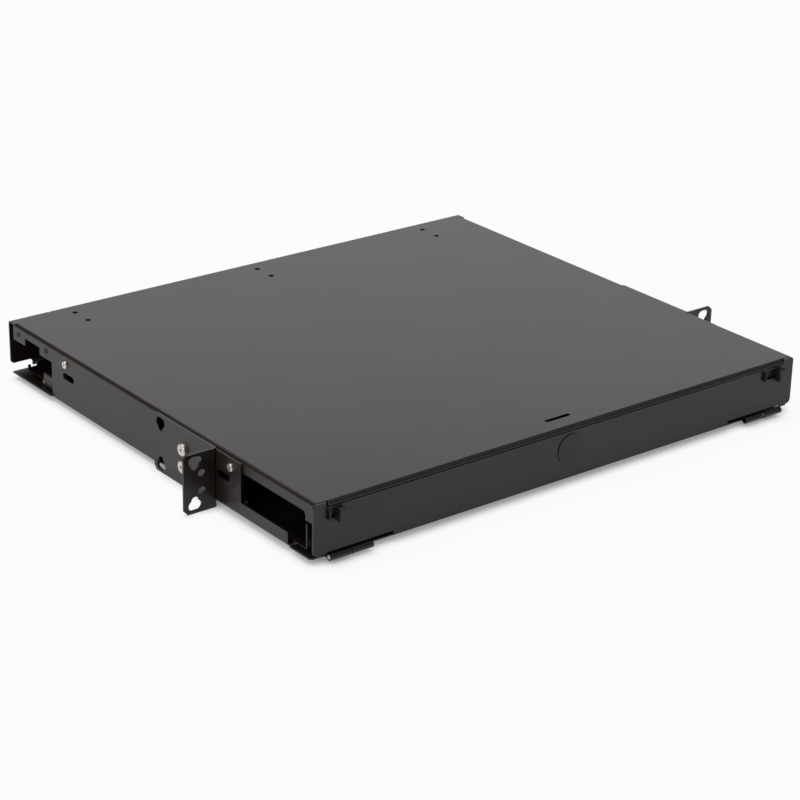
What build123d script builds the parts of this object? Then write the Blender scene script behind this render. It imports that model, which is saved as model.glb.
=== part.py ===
from build123d import *
import os

# Closed one-unit rack panel for fibre patching: a folded steel housing, a slide-out tray that carries
# the adapters, and a drop-down front door with two slide latches.
# Millimetres. X runs to the right, Y to the rear, Z up. The origin is the middle of the rack hole
# pattern, on the rear faces of the ears, which rest against the rack posts.

# Rack standard
rack_width = 482.6
rack_hole_inset = 8.75
hole_rise = 31.75
inner_hole_rise = 25.4
wide_rack_step = 50.8

# Housing
ear_reach = 26.65
shell_depth = 389.0
shell_height = 39.7
shell_sheet = 1.2
shell_bend = 2.6
top_above_holes = 22.5
ear_setback = 112.4
corner_gap = 2.4
lip_height = 3.0
lip_bend = 2.8
lip_inset = 10.25
wall_rear_gap = 6.8
flange_end_gap = 0.0
flange_foot_width = 18.5
flange_foot_rise = 5.2
flange_corner = 3.0
relief_outer_inset = 8.0
relief_inner_inset = 33.4
relief_width = 1.6
relief_depth = 3.0
window_rear = 84.0
window_front = 11.5
window_top = 8.5
window_corner = 3.0
post_foot = 14.5
port_length = 55.5
port_band = 6.9
port_tab = 12.8
port_tab_length = 17.2
accessory_hole = 4.5
accessory_inset = 48.65
accessory_pitch = 18.8
accessory_setback = 14.6
lock_slot_length = 22.0
lock_slot_width = 3.4
lock_slot_setback = 15.9

# Base pan
base_sheet = 1.2
base_gap = 0.3
base_front = 28.7
base_rear_gap = 6.3
rear_rim_rise = 3.2
cheek_proud = 1.5
cheek_front = 81.4
cheek_top = 1.6
cheek_ear_gap = 0.5
cheek_bend = 2.0
ledge_gap = 0.6
strip_rise = 10.0
strip_corner = 3.0
tab_sheet = 1.2
tab_length = 18.0
tab_top = 4.0
front_tab_at = 92.3
rear_tab_setback = 82.6
wall_slot_length = 15.0
wall_slot_width = 5.0
wall_slot_drop = 17.5
front_slot_offset = 9.6
rear_slot_offset = 3.2

# Ears
ear_sheet = 1.6
ear_height = 43.0
ear_corner = 3.1
ear_bend = 2.4
ear_slot_length = 10.4
ear_slot_width = 7.1
ear_lobe = 3.1
ear_hole = 5.5
ear_hole_pitch = 12.7
ear_hole_inset = 14.0
leg_hole_setback = 38.4

# Screws and rivets
ear_screw_head = 9.0
ear_screw_rise = 2.6
ear_screw_shank = 5.0
cover_screw_head = 5.6
cover_screw_rise = 1.8
cover_screw_shank = 3.0
screw_clearance = 0.2
screw_drop = 8.0
rivet_head = 4.6
rivet_rise = 0.5
rivet_shank = 3.2
rivet_drop = 7.0
rivet_front_setback = 54.3
rivet_rear_setback = 14.0
rivet_clearance = 0.1
head_edge_share = 0.45
head_crown_share = 0.5

# Slide rails and their guides
rail_sheet = 1.0
rail_bend = 1.6
rail_depth = 7.0
rail_height = 11.5
rail_front = 88.5
rail_rear_setback = 45.0
guide_length = 18.0
guide_wall = 2.6
guide_jaw = 1.6
guide_clearance = 0.2
guide_overhang = 4.0

# Tray
tray_sheet = 1.2
tray_lift = 1.7
tray_front = 12.2
tray_front_inset = 2.0
tray_wide_length = 67.8
tray_inset = 6.5
tray_rear_gap = 14.8
post_rise = 17.3
post_width = 60.0
low_lip_rise = 6.0
lip_corner = 4.0
stop_tab_width = 2.0
stop_tab_rise = 3.3
sill_front = 3.7
sill_nose = 1.6
sill_corner = 1.8
sill_gap = 0.8
sill_foot = 14.0

# Adapter field
bulkhead_at = 105.0
bulkhead_sheet = 1.2
bulkhead_bend = 2.0
bulkhead_inset = 11.0
bulkhead_end = 6.5
bulkhead_top = 4.6
bulkhead_foot = 12.0
plate_count = 3
plate_gap = 2.0
plate_height = 30.0
plate_sheet = 1.6
plate_corner = 2.0
plate_rim = 10.5
plate_window_height = 25.0
plate_lift = 0.6
plunger_inset = 5.5
plunger_shank = 4.0
plunger_head = 7.0
plunger_rise = 4.0
plunger_tail = 4.0
adapter_pitch = 16.6
adapter_width = 13.0
adapter_height = 9.4
adapter_half_length = 14.0
adapter_gap = 0.15
flange_width = 15.4
flange_height = 12.0
flange_sheet = 1.6
port_pitch = 6.3
port_size = 5.0
port_depth = 7.0
cap_length = 6.0
cap_rim = 0.5
cap_gap = 0.15

# Fibre storage
storage_front_gap = 15.0
storage_margin = 30.0
spool_share = 0.6215
spool_radius = 40.0
spool_wall = 2.0
spool_height = 16.0
spool_flange = 8.0
spool_finger_width = 10.0
spool_fingers = 4
splice_width = 116.0
splice_height = 10.0
splice_wall = 1.6
splice_corner = 12.0
splice_door = 16.0
splice_cover_sheet = 1.2
comb_count = 6
comb_pitch = 7.0
comb_wall = 1.4
comb_length = 42.0
comb_height = 5.0
clip_at = 47.0
clip_spread_inner = 62.0
clip_inset = 46.0
clip_width = 18.0
clip_height = 13.0
clip_wall = 1.8
clip_length = 8.0
clip_mouth = 4.0
anchor_setback = 31.0
anchor_inset = 49.0
anchor_pitch = 45.0
anchor_size = 16.0
anchor_bridge_width = 8.0
anchor_bridge_length = 10.6
anchor_base = 1.6
anchor_height = 5.6
anchor_tunnel = 2.4
anchor_tunnel_width = 6.4

# Door
door_sheet = 1.5
door_proud = -0.2
door_overhang = 1.0
door_play = 0.8
door_top_gap = 0.9
horn_gap = 1.4
horn_corner = 2.5
horn_top = 0.2
door_bottom = 38.0
hinge_cut_rise = 2.7
hinge_cut_inset = 63.0
door_end_rise = 1.6
door_corner = 3.5
lock_hole = 19.0
lock_drop = 17.5
plug_head = 23.0
plug_rise = 0.6
plug_wall = 1.2
plug_skirt = 4.0
plug_clearance = 0.1

# Hinges
hinge_inset = 10.4
hinge_length = 35.0
hinge_end_gap = 1.2
hinge_drop = 39.3
barrel_radius = 2.5
pin_radius = 1.4
pin_clearance = 0.05
pin_short = 5.0
knuckle_gap = 1.6
leaf_sheet = 1.0
sill_leaf = 16.0
door_leaf = 15.0

# Latches
latch_left_inset = 9.9
latch_right_inset = 29.2
latch_width = 19.0
latch_foot = 14.6
latch_rail = 1.5
latch_flange = 2.0
latch_flange_sheet = 1.5
latch_flange_drop = 5.0
latch_clearance = 0.1
latch_fin = 0.9
latch_fin_proud = 2.6
pocket_foot = 12.4
pocket_floor = 0.8
pocket_wall = 0.5
latch_travel = 4.6
block_left_at = 7.0
block_right_at = 13.0
block_width = 5.0
block_top = 5.7
block_height = 9.4
block_proud = 4.6
block_gap = 0.6
block_round = 0.8
stem_width = 3.0
stem_height = 2.4
stem_drop = 12.2
slot_gap = 0.35
tongue_gap = 0.3
tongue_width = 8.5
tongue_sheet = 1.5
tongue_top = 6.2

# Cuts run this far past the faces they open
over_cut = 1.0
# Corners count as being at a place within this distance of it
near = 0.01

# The housing is as wide as the rack leaves between its ears
hole_span = rack_width - 2 * rack_hole_inset
half = rack_width / 2 - ear_reach
inner_half = half - shell_sheet
top_z = top_above_holes
base_drop = shell_height
floor_drop = shell_height - base_sheet
tray_under = floor_drop - tray_lift
tray_drop = tray_under - tray_sheet
front_y = -ear_setback
cheek_half = half + cheek_proud
lip_half = half - lip_inset
tray_half = half - tray_inset
rear_tab_at = shell_depth - rear_tab_setback
rail_rear = shell_depth - rail_rear_setback


# Places are given as the depth behind the shell's front face and the drop below its top face.
def y_at(depth):
    return front_y + depth


def z_at(drop):
    return top_z - drop


def span(x0, x1, depth0, depth1, drop0, drop1):
    size = (abs(x1 - x0), abs(depth1 - depth0), abs(drop1 - drop0))
    centre = ((x0 + x1) / 2, y_at((depth0 + depth1) / 2), z_at((drop0 + drop1) / 2))
    return Pos(*centre) * Box(*size)


# Extrudes a face drawn in (y, z) from x0 to x1.
def along_x(face, x0, x1):
    return extrude(Plane.YZ.offset(x0) * face, amount=x1 - x0)


# Extrudes a face drawn in (x, z) from depth0 to depth1.
def along_y(face, depth0, depth1):
    return extrude(Plane.XZ.offset(-y_at(depth1)) * face, amount=depth1 - depth0)


# Extrudes a face drawn in (x, y) from drop0 up to drop1.
def along_z(face, drop0, drop1):
    return extrude(Plane.XY.offset(z_at(drop0)) * face, amount=drop0 - drop1)


def outline(*points):
    return make_face(Polyline(*points, close=True))


# A sheet of even thickness folded along a line, as a face.
def folded(points, sheet, outer_radius):
    return trace(FilletPolyline(*points, radius=outer_radius - sheet / 2), line_width=sheet)


def cross_pin(depth, drop, radius, x0, x1):
    return along_x(Pos(y_at(depth), z_at(drop)) * Circle(radius), x0, x1)


def upright_pin(x, depth, radius, drop0, drop1):
    return along_z(Pos(x, y_at(depth)) * Circle(radius), drop0, drop1)


def forward_pin(x, drop, radius, depth0, depth1):
    return along_y(Pos(x, z_at(drop)) * Circle(radius), depth0, depth1)


def mirrored(piece):
    return mirror(piece, about=Plane.YZ)


def save(name, *solids):
    pieces = [solid for shape in solids for solid in shape.solids()]
    export_step(pieces[0] if len(pieces) == 1 else Compound(children=pieces), "parts/" + name + ".step")


os.makedirs("parts", exist_ok=True)

# Where the rack ears stand
ear_face = ear_setback - ear_sheet
leg_rear = ear_face + rack_width / 2 - half - ear_sheet + wide_rack_step
leg_slot_at = ear_face + hole_span / 2 - half - ear_sheet + wide_rack_step
leg_hole_at = ear_face + leg_hole_setback
ear_hole_x = rack_width / 2 - ear_hole_inset
ear_slot = SlotOverall(ear_slot_length, ear_slot_width)
leg_slot_faces = []
for side in (-1, 1):
    leg_slot_faces.append(Pos(y_at(leg_slot_at), side * hole_rise / 2) * ear_slot)
    leg_slot_faces.append(Pos(y_at(leg_slot_at), side * inner_hole_rise / 2) * Circle(ear_lobe))

# Outer shell: the top and side walls are one channel
wall_rear = shell_depth - wall_rear_gap
mid_half = half - shell_sheet / 2
shell_line = [
    (-mid_half, z_at(base_drop)),
    (-mid_half, z_at(shell_sheet / 2)),
    (mid_half, z_at(shell_sheet / 2)),
    (mid_half, z_at(base_drop)),
]
shell = along_y(folded(shell_line, shell_sheet, shell_bend), corner_gap, wall_rear)

# Front lip and rear flange, each bent down from the top sheet
lip_line = [
    (y_at(corner_gap + shell_bend), z_at(shell_sheet / 2)),
    (y_at(shell_sheet / 2), z_at(shell_sheet / 2)),
    (y_at(shell_sheet / 2), z_at(lip_height)),
]
shell += along_x(folded(lip_line, shell_sheet, lip_bend), -lip_half, lip_half)
flange_half = half - flange_end_gap
flange_line = [
    (y_at(wall_rear - shell_bend), z_at(shell_sheet / 2)),
    (y_at(shell_depth - shell_sheet / 2), z_at(shell_sheet / 2)),
    (y_at(shell_depth - shell_sheet / 2), z_at(base_drop)),
]
flange_face = folded(flange_line, shell_sheet, shell_bend)
flange = along_x(flange_face, -flange_half, flange_half)
for side in (-1, 1):
    foot = span(
        side * (flange_half - flange_foot_width), side * half,
        wall_rear, shell_depth + shell_sheet, base_drop - flange_foot_rise, base_drop + shell_sheet,
    )
    flange -= foot
flange_corners = flange.edges().filter_by(Axis.Y).group_by(Axis.Z)[1]
flange = fillet(flange_corners, flange_corner)
shell += flange
for side in (-1, 1):
    for inset in (relief_outer_inset, relief_inner_inset):
        place = half - inset
        shell -= span(
            side * place - relief_width / 2, side * place + relief_width / 2,
            shell_depth - relief_depth, shell_depth + shell_sheet, -shell_sheet, shell_bend,
        )

# Openings in the side walls: front window, rear cable port and the slot beside each fixing tab
port_front = wall_rear - port_length
wall_foot = base_drop - cheek_bend
window_face = outline(
    (y_at(window_rear), z_at(base_drop + shell_sheet)),
    (y_at(window_rear), z_at(window_top)),
    (y_at(window_front), z_at(window_top)),
    (y_at(window_front), z_at(post_foot)),
    (y_at(0), z_at(post_foot)),
    (y_at(0), z_at(base_drop + shell_sheet)),
)
window_face = fillet(window_face.vertices().group_by(Axis.Y)[-1], window_corner)
port_face = outline(
    (y_at(port_front), z_at(base_drop + shell_sheet)),
    (y_at(port_front), z_at(port_tab)),
    (y_at(port_front + port_tab_length), z_at(port_tab)),
    (y_at(port_front + port_tab_length), z_at(port_band)),
    (y_at(wall_rear - port_tab_length), z_at(port_band)),
    (y_at(wall_rear - port_tab_length), z_at(port_tab)),
    (y_at(wall_rear + shell_sheet), z_at(port_tab)),
    (y_at(wall_rear + shell_sheet), z_at(base_drop + shell_sheet)),
)
front_slot_at = front_tab_at + front_slot_offset
rear_slot_at = rear_tab_at - rear_slot_offset
slot_face = SlotOverall(wall_slot_length, wall_slot_width)
slot_faces = [Pos(y_at(place), z_at(wall_slot_drop)) * slot_face for place in (front_slot_at, rear_slot_at)]
screw_places = [front_tab_at, rear_tab_at]
rivet_places = [shell_depth - rivet_front_setback, shell_depth - rivet_rear_setback]
for side in (-1, 1):
    cut = (side * (half - 2 * shell_bend), side * (half + shell_sheet))
    shell -= along_x(window_face, *cut)
    shell -= along_x(port_face, *cut)
    for face in slot_faces:
        shell -= along_x(face, *cut)
    for place in screw_places:
        shell -= cross_pin(place, screw_drop, cover_screw_shank / 2 + screw_clearance, *cut)
    for place in rivet_places:
        shell -= cross_pin(place, rivet_drop, rivet_shank / 2 + rivet_clearance, *cut)
    for rise in (-ear_hole_pitch / 2, ear_hole_pitch / 2):
        hole_drop = top_above_holes - rise
        shell -= cross_pin(leg_hole_at, hole_drop, ear_screw_shank / 2 + screw_clearance, *cut)
    for face in leg_slot_faces:
        shell -= along_x(face, *cut)
    # In front the walls end above the bend of the base pan's cheeks
    shell -= span(cut[0], cut[1], 0, ear_face, wall_foot, base_drop + shell_sheet)

# Holes through the top: three pairs at the rear and the slot that a door lock's cam rises into
accessory_rear = shell_depth - accessory_setback
accessory_spread = half - accessory_inset
for place in (-accessory_spread, 0, accessory_spread):
    for setback in (accessory_rear, accessory_rear - accessory_pitch):
        shell -= upright_pin(place, setback, accessory_hole / 2, shell_bend, -shell_sheet)
shell -= span(
    -lock_slot_length / 2, lock_slot_length / 2,
    lock_slot_setback - lock_slot_width / 2, lock_slot_setback + lock_slot_width / 2,
    -shell_sheet, shell_bend,
)
save("outer_shell", shell)

# Base pan: a floor between the walls, wider in front, where cheeks fold up outside the walls, and
# wider at the rear cable ports, where it makes their sills
floor_half = inner_half - base_gap
base_rear = shell_depth - base_rear_gap
cheek_rear = ear_face - cheek_ear_gap
cheek_mid = cheek_half - base_sheet / 2
cheek_line = [
    (-cheek_mid, z_at(cheek_top)),
    (-cheek_mid, z_at(base_drop - base_sheet / 2)),
    (cheek_mid, z_at(base_drop - base_sheet / 2)),
    (cheek_mid, z_at(cheek_top)),
]
pan = along_y(folded(cheek_line, base_sheet, cheek_bend), base_front, cheek_rear)
strip_top = base_drop - strip_rise
cheek_cut = outline(
    (y_at(cheek_front), z_at(cheek_top - base_sheet)),
    (y_at(cheek_front), z_at(strip_top)),
    (y_at(base_front - base_sheet), z_at(strip_top)),
    (y_at(base_front - base_sheet), z_at(cheek_top - base_sheet)),
)
cheek_corner = cheek_cut.vertices().group_by(Axis.Z)[0].sort_by(Axis.Y)[-1]
pan -= along_x(fillet(cheek_corner, strip_corner), -cheek_half - over_cut, cheek_half + over_cut)
pan += span(-floor_half, floor_half, cheek_rear - cheek_bend, base_rear, floor_drop, base_drop)
pan += span(-cheek_half, cheek_half, port_front + ledge_gap, base_rear, floor_drop, base_drop)
# A low rim along the rear edge, between the feet of the shell's rear flange
rim_half = flange_half - flange_foot_width
pan += span(-rim_half, rim_half, base_rear - base_sheet, base_rear, floor_drop - rear_rim_rise, base_drop)
for side in (-1, 1):
    for place in screw_places:
        pan += span(
            side * floor_half, side * (floor_half - tab_sheet),
            place - tab_length / 2, place + tab_length / 2, tab_top, base_drop,
        )
    cut = (side * (floor_half - 2 * tab_sheet), side * (cheek_half + base_sheet))
    for place in screw_places:
        pan -= cross_pin(place, screw_drop, cover_screw_shank / 2 + screw_clearance, *cut)
    for face in slot_faces:
        pan -= along_x(face, *cut)
save("base_pan", pan)

# Rack ears: a short leg for the rack and a long leg on the housing, with the same slots at both ends
leg_mid = half + ear_sheet / 2
ear_line = [
    (leg_mid, y_at(leg_rear)),
    (leg_mid, y_at(ear_face + ear_sheet / 2)),
    (rack_width / 2, y_at(ear_face + ear_sheet / 2)),
]
ear_foot = top_above_holes + ear_height / 2
ear_head = top_above_holes - ear_height / 2
ear = along_z(folded(ear_line, ear_sheet, ear_bend), ear_foot, ear_head)
ear_corners = [
    edge for edge in ear.edges().filter_by(Axis.Y)
    if edge.center().X > rack_width / 2 - ear_sheet
]
ear_corners += [
    edge for edge in ear.edges().filter_by(Axis.X)
    if edge.center().Y > y_at(leg_rear - ear_sheet)
]
ear = chamfer(ear_corners, ear_corner)
for side in (-1, 1):
    slot_z = side * hole_rise / 2
    lobe_z = side * inner_hole_rise / 2
    hole_z = side * ear_hole_pitch / 2
    reach = (ear_face - ear_sheet, ear_setback + ear_sheet)
    ear -= along_y(Pos(hole_span / 2, slot_z) * ear_slot, *reach)
    ear -= along_y(Pos(hole_span / 2, lobe_z) * Circle(ear_lobe), *reach)
    ear -= along_y(Pos(ear_hole_x, hole_z) * Circle(ear_hole / 2), *reach)
    through = (half - ear_sheet, half + 2 * ear_sheet)
    ear -= along_x(Pos(y_at(leg_hole_at), hole_z) * Circle(ear_hole / 2), *through)
for face in leg_slot_faces:
    ear -= along_x(face, *through)
save("rack_ear_right", ear)
save("rack_ear_left", mirrored(ear))


# A pan-head screw or rivet through the right-hand wall, with its head on the given seat
def side_screw(seat, depth, drop, head, rise, shank, tail):
    edge = rise * head_edge_share
    crown = head / 2 * head_crown_share
    top = revolve(
        Plane.XZ * outline((0, 0), (head / 2, 0), (head / 2, edge), (crown, rise), (0, rise)),
        axis=Axis.Z,
    )
    body = top + Pos(0, 0, -tail / 2) * Cylinder(shank / 2, tail)
    return Pos(seat, y_at(depth), z_at(drop)) * Rot(0, 90, 0) * body


ear_screws = []
for rise in (-ear_hole_pitch / 2, ear_hole_pitch / 2):
    tail = ear_sheet + shell_sheet
    drop = top_above_holes - rise
    screw = side_screw(
        half + ear_sheet, leg_hole_at, drop, ear_screw_head, ear_screw_rise, ear_screw_shank, tail,
    )
    ear_screws += [screw, mirrored(screw)]
save("ear_screws", *ear_screws)

cover_screws = []
for place, seat in ((front_tab_at, cheek_half), (rear_tab_at, half)):
    tail = seat - floor_half + tab_sheet
    screw = side_screw(seat, place, screw_drop, cover_screw_head, cover_screw_rise, cover_screw_shank, tail)
    cover_screws += [screw, mirrored(screw)]
save("cover_screws", *cover_screws)

band_rivets = []
for place in rivet_places:
    rivet = side_screw(half, place, rivet_drop, rivet_head, rivet_rise, rivet_shank, shell_sheet)
    band_rivets += [rivet, mirrored(rivet)]
save("band_rivets", *band_rivets)

# Slide rails: channels on the base pan, against its tabs, open towards the tray
rail_outer = floor_half - tab_sheet
rail_line = [
    (rail_outer - rail_depth, z_at(floor_drop - rail_sheet / 2)),
    (rail_outer - rail_sheet / 2, z_at(floor_drop - rail_sheet / 2)),
    (rail_outer - rail_sheet / 2, z_at(floor_drop - rail_height + rail_sheet / 2)),
    (rail_outer - rail_depth, z_at(floor_drop - rail_height + rail_sheet / 2)),
]
rail = along_y(folded(rail_line, rail_sheet, rail_bend), rail_front, rail_rear)
save("slide_rail_right", rail)
save("slide_rail_left", mirrored(rail))

# Guides: nylon shoes in the rails that the tray's edges run on; the front pair also holds them down
guide_seat = floor_drop - rail_sheet
guide_outer = rail_outer - rail_bend
guide_inner = tray_half - guide_wall
edge_room = tray_half + guide_clearance
guides = []
for place in (rail_front, (rail_front + rail_rear) / 2, rail_rear + guide_overhang - guide_length):
    jaw = guide_jaw if place == rail_front else 0
    shoe = span(
        guide_inner, guide_outer, place, place + guide_length,
        tray_drop - guide_clearance - jaw, guide_seat,
    )
    shoe -= span(
        guide_inner - over_cut, edge_room, place - over_cut, place + guide_length + over_cut,
        tray_drop - guide_clearance - (0 if jaw else over_cut), tray_under + guide_clearance,
    )
    guides += [shoe, mirrored(shoe)]
save("rail_guides", *guides)

# Tray: one sheet with a front lip that rises into a post at each end, and stop tabs at its rear corners
tray_rear = shell_depth - tray_rear_gap
tray_front_half = half - tray_front_inset
tray_wide_rear = tray_front + tray_wide_length
tray_face = outline(
    (-tray_front_half, y_at(tray_front)),
    (tray_front_half, y_at(tray_front)),
    (tray_front_half, y_at(tray_wide_rear)),
    (tray_half, y_at(tray_wide_rear)),
    (tray_half, y_at(tray_rear)),
    (-tray_half, y_at(tray_rear)),
    (-tray_half, y_at(tray_wide_rear)),
    (-tray_front_half, y_at(tray_wide_rear)),
)
tray = along_z(tray_face, tray_under, tray_drop)
post_inner = tray_front_half - post_width
lip_face = outline(
    (-tray_front_half, z_at(tray_under)),
    (tray_front_half, z_at(tray_under)),
    (tray_front_half, z_at(tray_drop - post_rise)),
    (post_inner, z_at(tray_drop - post_rise)),
    (post_inner, z_at(tray_drop - low_lip_rise)),
    (-post_inner, z_at(tray_drop - low_lip_rise)),
    (-post_inner, z_at(tray_drop - post_rise)),
    (-tray_front_half, z_at(tray_drop - post_rise)),
)
lip_corners = [vertex for vertex in lip_face.vertices() if abs(abs(vertex.X) - post_inner) < near]
tray += along_y(fillet(lip_corners, lip_corner), tray_front, tray_front + tray_sheet)
for side in (-1, 1):
    tray += span(
        side * tray_half, side * (tray_half - stop_tab_width),
        tray_rear - tray_sheet, tray_rear, tray_drop - stop_tab_rise, tray_drop,
    )
save("tray_pan", tray)

# Sill: a joggled rail under the tray's front, level with the base pan, that carries the hinges; between
# them it comes forward behind the door
sill_rear = base_front - sill_gap
hinge_outer = half - hinge_inset
nose_half = hinge_outer - hinge_length - hinge_end_gap
sill_line = [
    (y_at(sill_front), z_at(base_drop - base_sheet / 2)),
    (y_at(sill_rear - tray_sheet / 2), z_at(base_drop - base_sheet / 2)),
    (y_at(sill_rear - tray_sheet / 2), z_at(tray_under + tray_sheet / 2)),
    (y_at(sill_rear + sill_foot), z_at(tray_under + tray_sheet / 2)),
]
sill_face = trace(Polyline(*sill_line), line_width=tray_sheet)
sill_face += Pos(y_at(sill_rear - tray_sheet / 2), z_at(base_drop - base_sheet / 2)) * Rectangle(
    tray_sheet, tray_sheet
)
sill_face += Pos(y_at(sill_rear - tray_sheet / 2), z_at(tray_under + tray_sheet / 2)) * Rectangle(
    tray_sheet, tray_sheet
)
sill = along_x(sill_face, -tray_half, tray_half)
sill_plan = outline(
    (-cheek_half, y_at(sill_rear - tray_sheet)),
    (-cheek_half, y_at(sill_front + sill_corner)),
    (sill_corner - cheek_half, y_at(sill_front)),
    (-nose_half, y_at(sill_front)),
    (-nose_half, y_at(sill_front - sill_nose)),
    (nose_half, y_at(sill_front - sill_nose)),
    (nose_half, y_at(sill_front)),
    (cheek_half - sill_corner, y_at(sill_front)),
    (cheek_half, y_at(sill_front + sill_corner)),
    (cheek_half, y_at(sill_rear - tray_sheet)),
)
sill += along_z(sill_plan, base_drop, base_drop - base_sheet)
save("tray_sill", sill)

# Adapter bulkhead: an upright sheet across the tray with a window and two plunger holes for each plate
bulkhead_line = [
    (y_at(bulkhead_at + bulkhead_sheet / 2), z_at(bulkhead_top)),
    (y_at(bulkhead_at + bulkhead_sheet / 2), z_at(tray_drop - bulkhead_sheet / 2)),
    (y_at(bulkhead_at + bulkhead_foot), z_at(tray_drop - bulkhead_sheet / 2)),
]
bulkhead_half = half - bulkhead_inset
bulkhead = along_x(folded(bulkhead_line, bulkhead_sheet, bulkhead_bend), -bulkhead_half, bulkhead_half)
plate_drop = tray_drop - plate_lift - plate_height / 2
plate_pitch = 2 * (bulkhead_half - bulkhead_end) / plate_count
plate_width = plate_pitch - plate_gap
plate_window = plate_width - 2 * plate_rim
plunger_pitch = plate_width - 2 * plunger_inset
plate_places = [(index - (plate_count - 1) / 2) * plate_pitch for index in range(plate_count)]
plate_names = ["left", "middle", "right"]
for place in plate_places:
    bulkhead -= span(
        place - plate_window / 2, place + plate_window / 2,
        bulkhead_at - over_cut, bulkhead_at + bulkhead_sheet + over_cut,
        plate_drop - plate_window_height / 2, plate_drop + plate_window_height / 2,
    )
    for side in (-1, 1):
        bulkhead -= forward_pin(
            place + side * plunger_pitch / 2, plate_drop, plunger_shank / 2 + adapter_gap,
            bulkhead_at - over_cut, bulkhead_at + bulkhead_sheet + over_cut,
        )
save("adapter_bulkhead", bulkhead)

# Each plate holds as many duplex adapters as fit its window, closed at both ends by dust caps
plate_front = bulkhead_at - plate_sheet
adapter_mid = bulkhead_at
adapter_count = int(plate_window / adapter_pitch)
adapter_places = [(index - (adapter_count - 1) / 2) * adapter_pitch for index in range(adapter_count)]


def adapter_plate(centre):
    face = RectangleRounded(plate_width, plate_height, plate_corner)
    for place in adapter_places:
        face -= Pos(place, 0) * Rectangle(adapter_width + 2 * adapter_gap, adapter_height + 2 * adapter_gap)
    for side in (-1, 1):
        face -= Pos(side * plunger_pitch / 2, 0) * Circle(plunger_shank / 2 + adapter_gap)
    return along_y(Pos(centre, z_at(plate_drop)) * face, plate_front, bulkhead_at)


def adapter(centre):
    half_size = (adapter_width / 2, adapter_height / 2)
    body = span(
        centre - half_size[0], centre + half_size[0],
        adapter_mid - adapter_half_length, adapter_mid + adapter_half_length,
        plate_drop - half_size[1], plate_drop + half_size[1],
    )
    body += span(
        centre - flange_width / 2, centre + flange_width / 2,
        plate_front - flange_sheet, plate_front,
        plate_drop - flange_height / 2, plate_drop + flange_height / 2,
    )
    for side in (-1, 1):
        port_x = centre + side * port_pitch / 2
        for end in (-1, 1):
            mouth = adapter_mid + end * adapter_half_length
            body -= span(
                port_x - port_size / 2, port_x + port_size / 2,
                mouth - end * port_depth, mouth + end * over_cut,
                plate_drop - port_size / 2, plate_drop + port_size / 2,
            )
    return body


def dust_cap(centre, end):
    mouth = adapter_mid + end * adapter_half_length
    cap_width = port_pitch + port_size + 2 * cap_rim
    cap_height = port_size + 2 * cap_rim
    stem = port_size - 2 * cap_gap
    cap = span(
        centre - cap_width / 2, centre + cap_width / 2, mouth, mouth + end * cap_length,
        plate_drop - cap_height / 2, plate_drop + cap_height / 2,
    )
    for side in (-1, 1):
        port_x = centre + side * port_pitch / 2
        cap += span(
            port_x - stem / 2, port_x + stem / 2,
            mouth - end * (port_depth - cap_gap), mouth,
            plate_drop - stem / 2, plate_drop + stem / 2,
        )
    return cap


plungers = []
for name, place in zip(plate_names, plate_places):
    save("adapter_plate_" + name, adapter_plate(place))
    save("adapters_" + name, *[adapter(place + step) for step in adapter_places])
    save("dust_caps_" + name, *[dust_cap(place + step, end) for step in adapter_places for end in (-1, 1)])
    for side in (-1, 1):
        middle = place + side * plunger_pitch / 2
        knob = forward_pin(middle, plate_drop, plunger_head / 2, plate_front - plunger_rise, plate_front)
        knob += forward_pin(
            middle, plate_drop, plunger_shank / 2, plate_front, bulkhead_at + bulkhead_sheet + plunger_tail,
        )
        plungers.append(knob)
save("plate_plungers", *plungers)


# Fibre is stored between the adapters and the tie anchors
anchor_at = shell_depth - anchor_setback
storage_front = bulkhead_at + storage_front_gap
storage_rear = anchor_at - anchor_size / 2
storage_at = (storage_front + storage_rear) / 2
spool_spread = half * spool_share
splice_length = storage_rear - storage_front - 2 * storage_margin


# Fibre spool: a drum with a foot flange and fingers that keep the turns from lifting
def fibre_spool(centre):
    foot = tray_drop
    head = tray_drop - spool_height
    drum = upright_pin(centre, storage_at, spool_radius, foot, head)
    drum += upright_pin(centre, storage_at, spool_radius + spool_flange, foot, foot - spool_wall)
    drum -= upright_pin(centre, storage_at, spool_radius - spool_wall, foot, head)
    for index in range(spool_fingers):
        finger = Pos(spool_radius + spool_flange / 2 - spool_wall / 2, 0) * Rectangle(
            spool_flange + spool_wall, spool_finger_width
        )
        turn = Rot(0, 0, (index + 0.5) * 360 / spool_fingers)
        drum += along_z(Pos(centre, y_at(storage_at)) * turn * finger, head + spool_wall, head)
    return drum


save("fibre_spool_left", fibre_spool(-spool_spread))
save("fibre_spool_right", fibre_spool(spool_spread))

# Splice tray: a walled dish with a door for the fibres at each end and a comb that grips the splices
dish_face = RectangleRounded(splice_width, splice_length, splice_corner)
dish_room = RectangleRounded(
    splice_width - 2 * splice_wall, splice_length - 2 * splice_wall, splice_corner - splice_wall,
)
splice_middle = Pos(0, y_at(storage_at))
splice_top = tray_drop - splice_height
dish = along_z(splice_middle * dish_face, tray_drop, splice_top)
dish -= along_z(splice_middle * dish_room, tray_drop - splice_wall, splice_top - over_cut)
for side in (-1, 1):
    door_x = side * (splice_width / 2 - splice_corner - splice_door / 2)
    dish -= span(
        door_x - splice_door / 2, door_x + splice_door / 2,
        storage_at - splice_length / 2 - over_cut, storage_at + splice_length / 2 + over_cut,
        tray_drop - splice_wall, splice_top - over_cut,
    )
for index in range(comb_count):
    comb_x = (index - (comb_count - 1) / 2) * comb_pitch
    dish += span(
        comb_x - comb_wall / 2, comb_x + comb_wall / 2,
        storage_at - comb_length / 2, storage_at + comb_length / 2,
        tray_drop - splice_wall, tray_drop - splice_wall - comb_height,
    )
save("splice_tray", dish)
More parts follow.
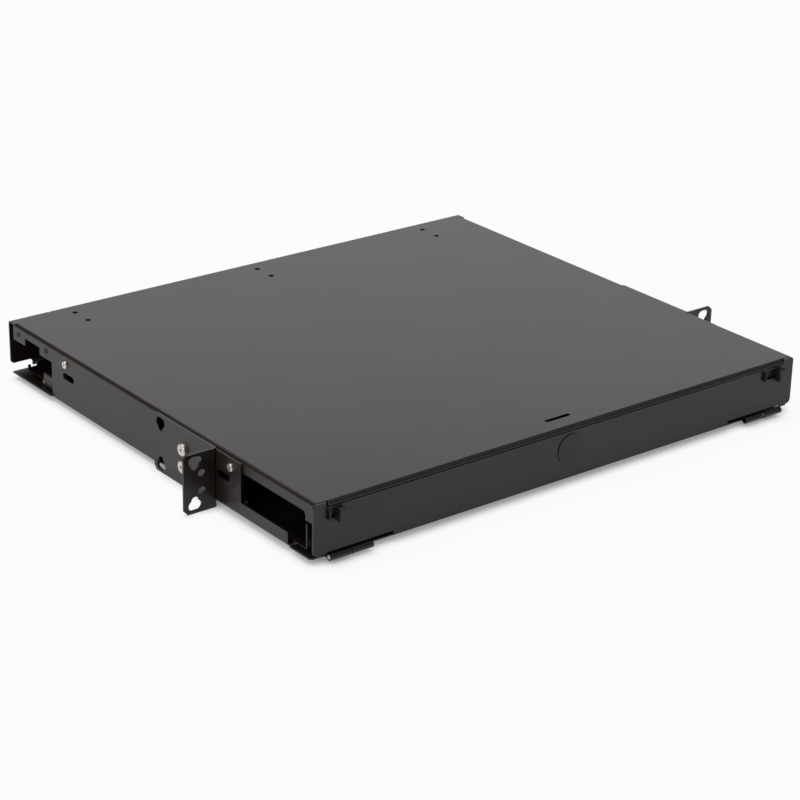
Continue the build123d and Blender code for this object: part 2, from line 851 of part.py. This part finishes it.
save("splice_cover", along_z(splice_middle * dish_face, splice_top, splice_top - splice_cover_sheet))


# Cord clip: a loop on the tray floor with a mouth in its top
def cord_clip(centre):
    foot = tray_drop
    ring = RectangleRounded(clip_width, clip_height, clip_wall * 2)
    ring -= RectangleRounded(clip_width - 2 * clip_wall, clip_height - 2 * clip_wall, clip_wall)
    ring -= Pos(0, clip_height / 2) * Rectangle(clip_mouth, 3 * clip_wall)
    middle = Pos(centre, z_at(foot - clip_height / 2))
    return along_y(middle * ring, clip_at - clip_length / 2, clip_at + clip_length / 2)


clip_spread_outer = half - clip_inset
clip_places = [-clip_spread_outer, -clip_spread_inner, clip_spread_inner, clip_spread_outer]
save("cord_clips", *[cord_clip(place) for place in clip_places])


# Tie anchor: a pad with a tunnel for a cable tie
def tie_anchor(centre):
    pad = span(
        centre - anchor_size / 2, centre + anchor_size / 2,
        anchor_at - anchor_size / 2, anchor_at + anchor_size / 2, tray_drop - anchor_base, tray_drop,
    )
    bridge = span(
        centre - anchor_bridge_width / 2, centre + anchor_bridge_width / 2,
        anchor_at - anchor_bridge_length / 2, anchor_at + anchor_bridge_length / 2,
        tray_drop - anchor_height, tray_drop,
    )
    tunnel = span(
        centre - anchor_size, centre + anchor_size,
        anchor_at - anchor_tunnel_width / 2, anchor_at + anchor_tunnel_width / 2,
        tray_drop - anchor_base - anchor_tunnel, tray_drop - anchor_base,
    )
    return pad + bridge - tunnel


anchor_spread_outer = half - anchor_inset
anchor_spread_inner = anchor_spread_outer - anchor_pitch
anchor_places = [-anchor_spread_outer, -anchor_spread_inner, anchor_spread_inner, anchor_spread_outer]
save("tie_anchors", *[tie_anchor(place) for place in anchor_places])

# Door: a flat plate whose top is cut down between two horns to clear the lip, and whose bottom is
# cut up over the hinges
door_face_at = -door_proud
door_back = door_face_at + door_sheet
door_half = half + door_overhang
hinge_cut_inner = half - hinge_cut_inset
horn_inner = lip_half + horn_gap
door_low = door_bottom
door_high = door_bottom - hinge_cut_rise
door_end = door_bottom - door_end_rise
hinge_cut_outer = half - hinge_inset + hinge_end_gap
door_notch = lip_height + door_top_gap
door_shape = outline(
    (-door_half, z_at(horn_top)),
    (-horn_inner, z_at(horn_top)),
    (-horn_inner, z_at(door_notch)),
    (horn_inner, z_at(door_notch)),
    (horn_inner, z_at(horn_top)),
    (door_half, z_at(horn_top)),
    (door_half, z_at(door_end)),
    (hinge_cut_outer, z_at(door_end)),
    (hinge_cut_outer, z_at(door_high)),
    (hinge_cut_inner, z_at(door_high)),
    (hinge_cut_inner, z_at(door_low)),
    (-hinge_cut_inner, z_at(door_low)),
    (-hinge_cut_inner, z_at(door_high)),
    (-hinge_cut_outer, z_at(door_high)),
    (-hinge_cut_outer, z_at(door_end)),
    (-door_half, z_at(door_end)),
)
end_corners = [vertex for vertex in door_shape.vertices() if abs(vertex.X) > door_half - near]
low_corners = [vertex for vertex in end_corners if vertex.Y < z_at(door_end) + near]
door_shape = fillet(low_corners, door_corner)
high_corners = [
    vertex for vertex in door_shape.vertices()
    if abs(vertex.X) > door_half - near and vertex.Y > z_at(horn_top) - near
]
door_shape = fillet(high_corners, horn_corner)
door_shape -= Pos(0, z_at(lock_drop)) * Circle(lock_hole / 2)
latch_places = {"left": latch_left_inset - half, "right": half - latch_right_inset}
block_offsets = {"left": block_left_at, "right": block_right_at}
slot_low = stem_drop + stem_height / 2 + slot_gap
slot_high = stem_drop - stem_height / 2 - latch_travel - slot_gap
stem_slot_width = stem_width + 2 * slot_gap
stem_slot = Rectangle(stem_slot_width, slot_low - slot_high)
for place in latch_places.values():
    door_shape -= Pos(place + latch_width / 2, z_at(latch_foot / 2)) * Rectangle(latch_width, latch_foot)


# The door hangs to the left on its pins, as far as they let it slide
def hung(piece):
    return Pos(-door_play, 0, 0) * piece


save("door_panel", hung(along_y(door_shape, door_face_at, door_back)))

# Plug that closes the hole for a lock: a flat head with a thin skirt through the door
skirt_radius = lock_hole / 2 - plug_clearance
plug = forward_pin(0, lock_drop, plug_head / 2, door_face_at - plug_rise, door_face_at)
skirt_end = door_face_at + plug_skirt
plug += forward_pin(0, lock_drop, skirt_radius, door_face_at - plug_rise, skirt_end)
plug -= forward_pin(0, lock_drop, skirt_radius - plug_wall, door_face_at + plug_wall, skirt_end)
save("lock_hole_plug", hung(plug))

# Hinges: each has an outer knuckle on the sill, which holds the pin, and an inner knuckle on the door
hinge_y = y_at(door_face_at)
hinge_z = z_at(hinge_drop)
barrel = Pos(hinge_y, hinge_z) * Circle(barrel_radius)
bore = Pos(hinge_y, hinge_z) * Circle(pin_radius + pin_clearance)


def leaf_face(depth0, depth1, drop0, drop1):
    middle = Pos(y_at((depth0 + depth1) / 2), z_at((drop0 + drop1) / 2))
    return middle * Rectangle(depth1 - depth0, drop1 - drop0)


sill_leaf_face = leaf_face(door_face_at, sill_front + sill_leaf, base_drop, base_drop + leaf_sheet)
leaf_top = hinge_drop - barrel_radius - door_leaf
door_leaf_face = leaf_face(door_back, door_back + leaf_sheet, leaf_top, hinge_drop)
sill_knuckle_face = barrel + sill_leaf_face - bore
door_knuckle_face = barrel + door_leaf_face - bore
hinge_inner = hinge_outer - hinge_length
hinge_middle = (hinge_outer + hinge_inner) / 2
sill_knuckle = along_x(sill_knuckle_face, hinge_middle + knuckle_gap / 2, hinge_outer)
door_knuckle = along_x(door_knuckle_face, hinge_inner, hinge_middle - knuckle_gap / 2)
hinge_pin = cross_pin(door_face_at, hinge_drop, pin_radius, hinge_inner + pin_short, hinge_outer)
save("sill_knuckle_right", sill_knuckle)
save("sill_knuckle_left", mirrored(sill_knuckle))
save("door_knuckle_right", hung(door_knuckle))
save("door_knuckle_left", hung(mirrored(door_knuckle)))
save("hinge_pin_right", hinge_pin)
save("hinge_pin_left", mirrored(hinge_pin))


# Latch housing: a moulding let into the door and flanged behind it, with a pocket for the finger between
# a fin and the sliding block
def latch_housing(place, block_at):
    stem_at = place + block_at + block_width / 2
    left = place + latch_clearance
    right = place + latch_width - latch_clearance
    flange_back = door_back + latch_flange_sheet
    housing = span(left, right, door_face_at, door_back, door_notch, latch_foot - latch_clearance)
    housing += span(
        place - latch_flange, place + latch_width + latch_flange,
        door_back, flange_back, latch_flange_drop, latch_foot + latch_flange,
    )
    housing += span(
        left, place + latch_fin, door_face_at - latch_fin_proud, door_face_at,
        door_notch + latch_rail, pocket_foot,
    )
    housing -= span(
        place + latch_fin, place + block_at - pocket_wall,
        door_face_at - over_cut, flange_back - pocket_floor,
        door_notch + latch_rail, pocket_foot,
    )
    stem_room = Pos(stem_at, z_at((slot_low + slot_high) / 2)) * stem_slot
    housing -= along_y(stem_room, door_face_at - over_cut, flange_back + over_cut)
    return housing


# Latch slider: a finger block in front, a stem through the housing and a tongue behind it that rises
# behind the shell's lip
def latch_slider(place, block_at):
    stem_at = place + block_at + block_width / 2
    block_back = door_face_at - block_gap
    block = span(
        place + block_at, place + block_at + block_width,
        door_face_at - block_proud, block_back, block_top, block_top + block_height,
    )
    front_edges = block.edges().group_by(Axis.Y)[0]
    block = fillet(front_edges, block_round)
    tongue_front = door_back + latch_flange_sheet + tongue_gap
    block += span(
        stem_at - stem_width / 2, stem_at + stem_width / 2, block_back, tongue_front,
        stem_drop - stem_height / 2, stem_drop + stem_height / 2,
    )
    block += span(
        stem_at - tongue_width / 2, stem_at + tongue_width / 2,
        tongue_front, tongue_front + tongue_sheet, tongue_top, block_top + block_height,
    )
    return block


for name, place in latch_places.items():
    save("latch_housing_" + name, hung(latch_housing(place, block_offsets[name])))
    save("latch_slider_" + name, hung(latch_slider(place, block_offsets[name])))
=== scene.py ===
import math

import bpy
from mathutils import Matrix, Vector


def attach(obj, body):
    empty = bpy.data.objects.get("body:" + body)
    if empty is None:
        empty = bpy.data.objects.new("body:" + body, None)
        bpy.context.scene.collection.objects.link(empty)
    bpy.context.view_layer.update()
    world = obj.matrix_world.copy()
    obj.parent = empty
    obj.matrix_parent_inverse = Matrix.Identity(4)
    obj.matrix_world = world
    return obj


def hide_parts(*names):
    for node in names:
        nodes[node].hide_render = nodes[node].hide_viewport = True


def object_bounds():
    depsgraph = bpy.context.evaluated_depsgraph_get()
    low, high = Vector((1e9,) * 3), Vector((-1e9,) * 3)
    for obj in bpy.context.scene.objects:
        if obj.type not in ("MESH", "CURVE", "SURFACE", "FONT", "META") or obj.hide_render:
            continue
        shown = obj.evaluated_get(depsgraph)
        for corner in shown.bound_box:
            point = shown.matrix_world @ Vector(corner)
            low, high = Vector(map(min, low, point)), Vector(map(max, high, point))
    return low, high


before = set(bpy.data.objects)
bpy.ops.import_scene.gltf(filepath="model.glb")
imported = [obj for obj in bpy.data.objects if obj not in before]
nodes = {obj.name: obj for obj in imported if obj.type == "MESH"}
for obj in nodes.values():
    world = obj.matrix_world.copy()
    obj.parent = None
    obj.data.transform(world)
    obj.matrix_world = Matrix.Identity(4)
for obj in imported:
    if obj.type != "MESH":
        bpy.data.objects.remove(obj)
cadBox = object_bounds()
print("frame loaded:", len(nodes), "nodes")


def linearColour(hexText):
    parts = [int(hexText[i:i + 2], 16) / 255 for i in (1, 3, 5)]
    return tuple(p / 12.92 if p <= 0.04045 else ((p + 0.055) / 1.055) ** 2.4 for p in parts) + (1.0,)


# adds one node, sets its properties and inputs, and links sockets into it
def addNode(tree, kind, settings=None, inputs=None, links=None):
    node = tree.nodes.new(kind)
    for key, value in (settings or {}).items():
        setattr(node, key, value)
    for key, value in (inputs or {}).items():
        node.inputs[key].default_value = value
    for key, socket in (links or {}).items():
        tree.links.new(socket, node.inputs[key])
    return node


# a noise pattern whose grain is given in millimetres
def grainScale(millimetres):
    return 1000.0 / millimetres


def newMaterial(name):
    mat = bpy.data.materials.new(name)
    mat.use_nodes = True
    tree = mat.node_tree
    tree.nodes.clear()
    out = addNode(tree, "ShaderNodeOutputMaterial")
    place = addNode(tree, "ShaderNodeTexCoord")
    return mat, tree, out, place.outputs["Object"]


# how the two noise patterns of a finish are cut up: octaves, and the part of their range that is used
pattern = {"cloudDetail": 3.0, "cloudStops": (0.35, 0.68), "grainDetail": 2.0, "grainStops": (0.3, 0.7)}


# a finish with a mottled colour, an uneven gloss and a fine relief
def surfaceMaterial(name, look):
    mat, tree, out, place = newMaterial(name)
    cloud = addNode(
        tree, "ShaderNodeTexNoise", {},
        {"Scale": grainScale(look["cloud"]), "Detail": pattern["cloudDetail"]}, {"Vector": place},
    )
    grain = addNode(
        tree, "ShaderNodeTexNoise", {},
        {"Scale": grainScale(look["grain"]), "Detail": pattern["grainDetail"]}, {"Vector": place},
    )
    mottle = addNode(tree, "ShaderNodeValToRGB", links={"Fac": cloud.outputs["Fac"]})
    for stop, position, shade in zip(mottle.color_ramp.elements, pattern["cloudStops"], ("dark", "light")):
        stop.position = position
        stop.color = linearColour(look[shade])
    low, high = pattern["grainStops"]
    gloss = addNode(
        tree, "ShaderNodeMapRange", {},
        {"From Min": low, "From Max": high, "To Min": look["rough"][0], "To Max": look["rough"][1]},
        {"Value": grain.outputs["Fac"]},
    )
    relief = addNode(
        tree, "ShaderNodeBump", {}, {"Strength": look["relief"], "Distance": look["reliefDepth"] / 1000},
        {"Height": grain.outputs["Fac"]},
    )
    shader = addNode(
        tree, "ShaderNodeBsdfPrincipled", {}, look["sockets"],
        {
            "Base Color": mottle.outputs["Color"], "Roughness": gloss.outputs["Result"],
            "Normal": relief.outputs["Normal"],
        },
    )
    tree.links.new(shader.outputs["BSDF"], out.inputs["Surface"])
    return mat


# polyester powder coat baked on folded steel: a satin black skin with a faint orange peel
powderCoat = surfaceMaterial("powderCoatedSteelSatin", {
    "dark": "#1b1511", "light": "#221b17", "cloud": 55.0, "grain": 0.9,
    "rough": (0.29, 0.37), "relief": 0.12, "reliefDepth": 0.12,
    "sockets": {"IOR": 1.5},
})
# zinc plate on cold-headed steel: a pale, slightly warm silver with a cloudy bloom
zincPlate = surfaceMaterial("zincPlatedSteelPassivated", {
    "dark": "#d2cec3", "light": "#ece8df", "cloud": 1.6, "grain": 0.25,
    "rough": (0.34, 0.46), "relief": 0.08, "reliefDepth": 0.02,
    "sockets": {"Metallic": 1.0},
})
# steel rivets dipped in black electrocoat: darker and glossier than the powder coat
electroCoat = surfaceMaterial("electrocoatedSteelDipped", {
    "dark": "#1c1b1a", "light": "#252423", "cloud": 2.0, "grain": 0.4,
    "rough": (0.28, 0.36), "relief": 0.08, "reliefDepth": 0.02,
    "sockets": {"IOR": 1.5},
})
# black ABS from a spark-eroded mould: matt, with a fine even grit
blackAbs = surfaceMaterial("absMouldedMatt", {
    "dark": "#181818", "light": "#1f1f1f", "cloud": 9.0, "grain": 0.35,
    "rough": (0.42, 0.54), "relief": 0.22, "reliefDepth": 0.05,
    "sockets": {"IOR": 1.53},
})
# natural nylon, moulded: milky off-white with a waxy gloss
nylon = surfaceMaterial("nylonMouldedNatural", {
    "dark": "#dcd8cb", "light": "#ebe8de", "cloud": 5.0, "grain": 0.5,
    "rough": (0.36, 0.46), "relief": 0.1, "reliefDepth": 0.03,
    "sockets": {"IOR": 1.53},
})
# blue PBT, moulded: an even satin, a little lighter where the flow lines meet
bluePbt = surfaceMaterial("pbtMouldedBlue", {
    "dark": "#1c4f97", "light": "#255ca8", "cloud": 6.0, "grain": 0.4,
    "rough": (0.34, 0.44), "relief": 0.1, "reliefDepth": 0.03,
    "sockets": {"IOR": 1.55},
})
# soft polyethylene caps: pale, waxy and slightly cloudy
capPolyethylene = surfaceMaterial("polyethyleneMouldedPale", {
    "dark": "#cfd4d3", "light": "#e1e5e4", "cloud": 4.0, "grain": 0.5,
    "rough": (0.4, 0.52), "relief": 0.1, "reliefDepth": 0.03,
    "sockets": {"IOR": 1.51},
})
# grey ABS dishes: matt, with the same moulded grit as the black parts
greyAbs = surfaceMaterial("absMouldedGrey", {
    "dark": "#85888a", "light": "#929597", "cloud": 14.0, "grain": 0.4,
    "rough": (0.44, 0.56), "relief": 0.16, "reliefDepth": 0.04,
    "sockets": {"IOR": 1.53},
})
# clear polycarbonate sheet: see-through, with faint handling haze in its gloss
clearSheet = surfaceMaterial("polycarbonateSheetClear", {
    "dark": "#e9edee", "light": "#f4f6f6", "cloud": 22.0, "grain": 3.0,
    "rough": (0.06, 0.16), "relief": 0.03, "reliefDepth": 0.02,
    "sockets": {"IOR": 1.585, "Transmission Weight": 0.92},
})

finishOf = {
    powderCoat: [
        "outer_shell", "base_pan", "rack_ear_left", "rack_ear_right", "tray_pan", "tray_sill", "adapter_bulkhead",
        "adapter_plate_left", "adapter_plate_middle", "adapter_plate_right", "sill_knuckle_left",
        "sill_knuckle_right", "door_panel", "door_knuckle_left", "door_knuckle_right", "slide_rail_left",
        "slide_rail_right",
    ],
    zincPlate: ["hinge_pin_left", "hinge_pin_right"],
    nylon: ["rail_guides"],
    blackAbs: [
        "latch_housing_left", "latch_housing_right", "latch_slider_left", "latch_slider_right", "lock_hole_plug",
        "plate_plungers", "cord_clips", "fibre_spool_left", "fibre_spool_right",
    ],
    bluePbt: ["adapters_left", "adapters_middle", "adapters_right"],
    capPolyethylene: ["dust_caps_left", "dust_caps_middle", "dust_caps_right"],
    greyAbs: ["splice_tray", "tie_anchors"],
    clearSheet: ["splice_cover"],
}
for mat, names in finishOf.items():
    for name in names:
        slots = nodes[name].data.materials
        slots.clear()
        slots.append(mat)
print("finishes set:", len(finishOf))

facing = 0.9  # a face looks up or down when its normal's z is past this
smoothAngle = 35  # degrees, sharper edges stay crisp


def facesUp(middle, normal):
    return normal.z > facing


def facesDown(middle, normal):
    return normal.z < -facing


# picks the faces of the active piece whose middle and normal pass the test, and leaves edit mode on
def pickFaces(test):
    piece = bpy.context.object
    bpy.ops.object.mode_set(mode="EDIT")
    bpy.ops.mesh.select_mode(type="FACE")
    bpy.ops.mesh.select_all(action="DESELECT")
    bpy.ops.object.mode_set(mode="OBJECT")
    for face in piece.data.polygons:
        face.select = test(face.center, face.normal)
    bpy.ops.object.mode_set(mode="EDIT")


# bevel steps of a head's rim, and the shank end's chamfer as a share of the shank
turned = {"rimSteps": 5, "endShare": 0.08, "endSteps": 2}


# a round head on its shank, standing on z = 0 with the shank below
def headOnShank(name, spec):
    bpy.ops.object.select_all(action="DESELECT")
    bpy.ops.mesh.primitive_cylinder_add(
        vertices=spec["sides"], radius=spec["head"] / 2, depth=spec["rise"], location=(0, 0, spec["rise"] / 2),
    )
    piece = bpy.context.object
    piece.name = name
    bpy.ops.object.transform_apply(location=True, rotation=False, scale=False)
    pickFaces(facesUp)
    bpy.ops.mesh.bevel(offset=spec["round"], segments=turned["rimSteps"], affect="EDGES")
    pickFaces(facesDown)
    bpy.ops.mesh.inset(thickness=(spec["head"] - spec["shank"]) / 2)
    bpy.ops.mesh.extrude_region_move(TRANSFORM_OT_translate={"value": (0, 0, -spec["tail"])})
    bpy.ops.mesh.bevel(
        offset=spec["shank"] * turned["endShare"], segments=turned["endSteps"], affect="EDGES",
    )
    bpy.ops.object.mode_set(mode="OBJECT")
    return piece


crossTaper = (0.45, 0.7, 1.0)  # the foot of each bar against its mouth


# sinks a tapered cross into the top of a head, one bar after the other
def cutCross(piece, spec):
    for quarter in (0, 90):
        bpy.ops.object.select_all(action="DESELECT")
        bpy.ops.mesh.primitive_cube_add(size=1.0, location=(0, 0, 0))
        bar = bpy.context.object
        bar.scale = (spec["crossSpan"], spec["crossWidth"], 2 * spec["crossDepth"])
        bpy.ops.object.transform_apply(location=False, rotation=False, scale=True)
        pickFaces(facesDown)
        bpy.ops.transform.resize(value=crossTaper, center_override=(0, 0, 0))
        bpy.ops.object.mode_set(mode="OBJECT")
        lift = Matrix.Translation((0, 0, spec["rise"]))
        bar.data.transform(lift @ Matrix.Rotation(math.radians(quarter), 4, "Z"))
        cross = piece.modifiers.new("cross", "BOOLEAN")
        cross.operation = "DIFFERENCE"
        cross.solver = "EXACT"
        cross.object = bar
        bpy.context.view_layer.objects.active = piece
        bpy.ops.object.modifier_apply(modifier="cross")
        bpy.data.objects.remove(bar)


# copies a fastener to both side walls and joins the copies into one piece
def wallSet(master, seats):
    copies = []
    for side in (-1, 1):
        for seat in seats:
            copy = master.copy()
            copy.data = master.data.copy()
            bpy.context.collection.objects.link(copy)
            outward = Matrix.Rotation(side * math.pi / 2, 4, "Y")
            spin = Matrix.Rotation(math.radians(side * seat["spin"]), 4, "Z")
            place = Matrix.Translation((side * seat["x"], seat["y"], seat["z"]))
            copy.data.transform(place @ outward @ spin)
            copies.append(copy)
    bpy.data.objects.remove(master)
    bpy.ops.object.select_all(action="DESELECT")
    for copy in copies:
        copy.select_set(True)
    bpy.context.view_layer.objects.active = copies[0]
    bpy.ops.object.join()
    bpy.ops.object.shade_smooth_by_angle(angle=math.radians(smoothAngle))
    return bpy.context.object


# large screws that hold the rack ears on the side walls
earScrew = {
    "sides": 48, "head": 0.009, "rise": 0.0026, "round": 0.0009, "shank": 0.005, "tail": 0.0028,
    "crossSpan": 0.004, "crossWidth": 0.001, "crossDepth": 0.0015,
    "seats": [
        {"x": 0.21625, "y": 0.0368, "z": 0.00635, "spin": 22},
        {"x": 0.21625, "y": 0.0368, "z": -0.00635, "spin": 64},
    ],
}
earScrewSet = headOnShank("earScrewSet", earScrew)
cutCross(earScrewSet, earScrew)
earScrewSet = wallSet(earScrewSet, earScrew["seats"])
earScrewSet.name = "earScrewSet"

# small screws that hold the shell on the base pan; the front pair is longer by the pan's cheek
coverScrew = {
    "sides": 40, "head": 0.0056, "rise": 0.0018, "round": 0.0006, "shank": 0.003, "tail": 0.0027,
    "crossSpan": 0.0025, "crossWidth": 0.0007, "crossDepth": 0.0011, "cheek": 0.0015,
    "front": {"x": 0.21615, "y": -0.0201, "z": 0.0145, "spin": 38},
    "rear": {"x": 0.21465, "y": 0.194, "z": 0.0145, "spin": 12},
}
coverScrewSets = []
for end in ("front", "rear"):
    spec = dict(coverScrew)
    if end == "front":
        spec["tail"] += spec["cheek"]
    screw = headOnShank("coverScrew", spec)
    cutCross(screw, spec)
    coverScrewSets.append(wallSet(screw, [coverScrew[end]]))
bpy.ops.object.select_all(action="DESELECT")
for screw in coverScrewSets:
    screw.select_set(True)
bpy.context.view_layer.objects.active = coverScrewSets[0]
bpy.ops.object.join()
coverScrewSet = bpy.context.object
coverScrewSet.name = "coverScrewSet"

# flat rivets that hold the rear flange to the walls, each with a groove round its button
bandRivet = {
    "sides": 36, "head": 0.0046, "rise": 0.0005, "round": 0.00035, "shank": 0.0032, "tail": 0.0012,
    "button": 0.0018, "groove": 0.0007, "grooveDepth": 0.0011, "buttonRound": 0.00021, "buttonSteps": 3,
    "seats": [
        {"x": 0.21465, "y": 0.2223, "z": 0.0155, "spin": 0},
        {"x": 0.21465, "y": 0.2626, "z": 0.0155, "spin": 0},
    ],
}
rivet = headOnShank("bandRivetSet", bandRivet)
pickFaces(lambda middle, normal: facesUp(middle, normal) and middle.xy.length < bandRivet["groove"])
flat = bandRivet["head"] / 2 - bandRivet["round"]
bpy.ops.mesh.inset(thickness=flat - bandRivet["button"] / 2 - bandRivet["groove"])
bpy.ops.mesh.extrude_region_move(TRANSFORM_OT_translate={"value": (0, 0, -bandRivet["grooveDepth"])})
bpy.ops.mesh.inset(thickness=bandRivet["groove"])
bpy.ops.mesh.extrude_region_move(TRANSFORM_OT_translate={"value": (0, 0, bandRivet["grooveDepth"])})
bpy.ops.mesh.bevel(offset=bandRivet["buttonRound"], segments=bandRivet["buttonSteps"], affect="EDGES")
bpy.ops.object.mode_set(mode="OBJECT")
bandRivetSet = wallSet(rivet, bandRivet["seats"])
bandRivetSet.name = "bandRivetSet"

fasteners = {
    "ear_screws": (earScrewSet, zincPlate, "zinc_steel"),
    "cover_screws": (coverScrewSet, zincPlate, "zinc_steel"),
    "band_rivets": (bandRivetSet, electroCoat, "black_rivet"),
}
for node, (piece, mat, slotName) in fasteners.items():
    piece.data.materials.clear()
    piece.data.materials.append(mat)
    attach(piece, "chassis")
    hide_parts(node)
print("fasteners made:", len(fasteners))

# camera where the photograph was taken, from the panel's front left
shot = {
    "lens": 107.28, "sensor": 36.0, "near": 0.01, "place": (-1.007476, -1.198214, 0.672205),
    "turn": -38.311, "tilt": 66.774, "roll": 1.214,
}
bpy.ops.object.camera_add()
cam = bpy.context.object
cam.name = "photoCamera"
cam.data.lens = shot["lens"]
cam.data.sensor_width = shot["sensor"]
cam.data.clip_start = shot["near"]
turn = Matrix.Rotation(math.radians(shot["turn"]), 4, "Z")
tilt = Matrix.Rotation(math.radians(shot["tilt"]), 4, "X")
roll = Matrix.Rotation(math.radians(shot["roll"]), 4, "Z")
cam.matrix_world = Matrix.Translation(Vector(shot["place"])) @ turn @ tilt @ roll
bpy.context.scene.camera = cam

# white paper under the panel; close under and beside the steel its glow is cut by an ambient-occlusion factor,
# which paints a contact shade over the paper's real shadow
floorSpec = {
    "size": 14.0, "paper": "#f0f0f0", "glow": 0.93, "mirrored": 0.385, "shade": 0.008, "shadeSamples": 16,
    "fibre": 40.0, "fibreDetail": 2.0, "fibreTone": 0.98,
}
bpy.ops.object.select_all(action="DESELECT")
bpy.ops.mesh.primitive_plane_add(size=floorSpec["size"], location=(0, 0, cadBox[0][2]))
floor = bpy.context.object
floor.name = "paperFloor"
mat, tree, out, place = newMaterial("paperSweepMatt")
fibre = addNode(
    tree, "ShaderNodeTexNoise", {},
    {"Scale": grainScale(floorSpec["fibre"]), "Detail": floorSpec["fibreDetail"]}, {"Vector": place},
)
tone = addNode(
    tree, "ShaderNodeMapRange", {}, {"To Min": floorSpec["fibreTone"], "To Max": 1.0},
    {"Value": fibre.outputs["Fac"]},
)
paper = addNode(tree, "ShaderNodeBsdfDiffuse", {}, {"Color": linearColour(floorSpec["paper"])})
glow = addNode(tree, "ShaderNodeEmission", {}, {"Color": (1, 1, 1, 1)}, {"Strength": tone.outputs["Result"]})
seen = addNode(tree, "ShaderNodeLightPath")
direct = addNode(
    tree, "ShaderNodeMath", {"operation": "MAXIMUM"}, {},
    {0: seen.outputs["Is Camera Ray"], 1: seen.outputs["Is Transmission Ray"]},
)
mirrored = addNode(
    tree, "ShaderNodeMath", {"operation": "MULTIPLY"}, {1: floorSpec["mirrored"]},
    {0: seen.outputs["Is Glossy Ray"]},
)
# painted contact shade: occlusion within a few millimetres of the steel dims the floor's glow
paintedContactShade = addNode(
    tree, "ShaderNodeAmbientOcclusion", {"samples": floorSpec["shadeSamples"]}, {"Distance": floorSpec["shade"]},
)
shadedGlow = addNode(
    tree, "ShaderNodeMath", {"operation": "MULTIPLY"}, {1: floorSpec["glow"]}, {0: paintedContactShade.outputs["AO"]},
)
share = addNode(
    tree, "ShaderNodeMath", {"operation": "MULTIPLY_ADD"}, {},
    {0: direct.outputs["Value"], 1: shadedGlow.outputs["Value"], 2: mirrored.outputs["Value"]},
)
sheet = addNode(
    tree, "ShaderNodeMixShader", {}, {},
    {0: share.outputs["Value"], 1: paper.outputs["BSDF"], 2: glow.outputs["Emission"]},
)
# seen from below the paper is clear, so the underside can be looked at
under = addNode(tree, "ShaderNodeNewGeometry")
clear = addNode(tree, "ShaderNodeBsdfTransparent")
oneSided = addNode(
    tree, "ShaderNodeMixShader", {}, {},
    {0: under.outputs["Backfacing"], 1: sheet.outputs["Shader"], 2: clear.outputs["BSDF"]},
)
tree.links.new(oneSided.outputs["Shader"], out.inputs["Surface"])
floor.data.materials.append(mat)

# soft boxes: one overhead, a broad one low behind to the right, and weak ones at the left,
# at the front right and low in front
lamps = {
    "overheadBox": {"place": (-0.2, 0.5, 1.9), "aim": (0, 0.05, 0), "size": (1.5, 1.5), "power": 28.0},
    "rearBox": {"place": (1.35, 1.75, 0.8), "aim": (0, 0.1, 0), "size": (2.6, 1.1), "power": 8.6},
    "leftBox": {"place": (-2.2, -0.4, 0.9), "aim": (-0.2, 0.05, 0), "size": (1.4, 1.0), "power": 12.5},
    "frontBox": {"place": (1.2, -0.9, 1.35), "aim": (0, -0.1, 0), "size": (0.7, 0.7), "power": 1.4},
    "doorBox": {"place": (0.3, -2.8, 0.4), "aim": (0, 0, 0), "size": (2.4, 0.7), "power": 3.0},
}
for name, lamp in lamps.items():
    bpy.ops.object.light_add(type="AREA", location=lamp["place"])
    box = bpy.context.object
    box.name = name
    box.data.shape = "RECTANGLE"
    box.data.size, box.data.size_y = lamp["size"]
    box.data.energy = lamp["power"]
    aim = Vector(lamp["aim"]) - Vector(lamp["place"])
    box.rotation_euler = aim.to_track_quat("-Z", "Y").to_euler()

# a dim room that is plain white where the camera looks past the floor
room = {"fill": 0.12, "white": 1.0}
world = bpy.data.worlds.new("dimRoom")
bpy.context.scene.world = world
world.use_nodes = True
tree = world.node_tree
tree.nodes.clear()
out = addNode(tree, "ShaderNodeOutputWorld")
seen = addNode(tree, "ShaderNodeLightPath")
direct = addNode(
    tree, "ShaderNodeMath", {"operation": "MAXIMUM"}, {},
    {0: seen.outputs["Is Camera Ray"], 1: seen.outputs["Is Transmission Ray"]},
)
level = addNode(
    tree, "ShaderNodeMapRange", {}, {"To Min": room["fill"], "To Max": room["white"]},
    {"Value": direct.outputs["Value"]},
)
air = addNode(tree, "ShaderNodeBackground", {}, {"Color": (1, 1, 1, 1)}, {"Strength": level.outputs["Result"]})
tree.links.new(air.outputs["Background"], out.inputs["Surface"])
bpy.context.scene.view_settings.view_transform = "Standard"
print("camera, floor and light set")
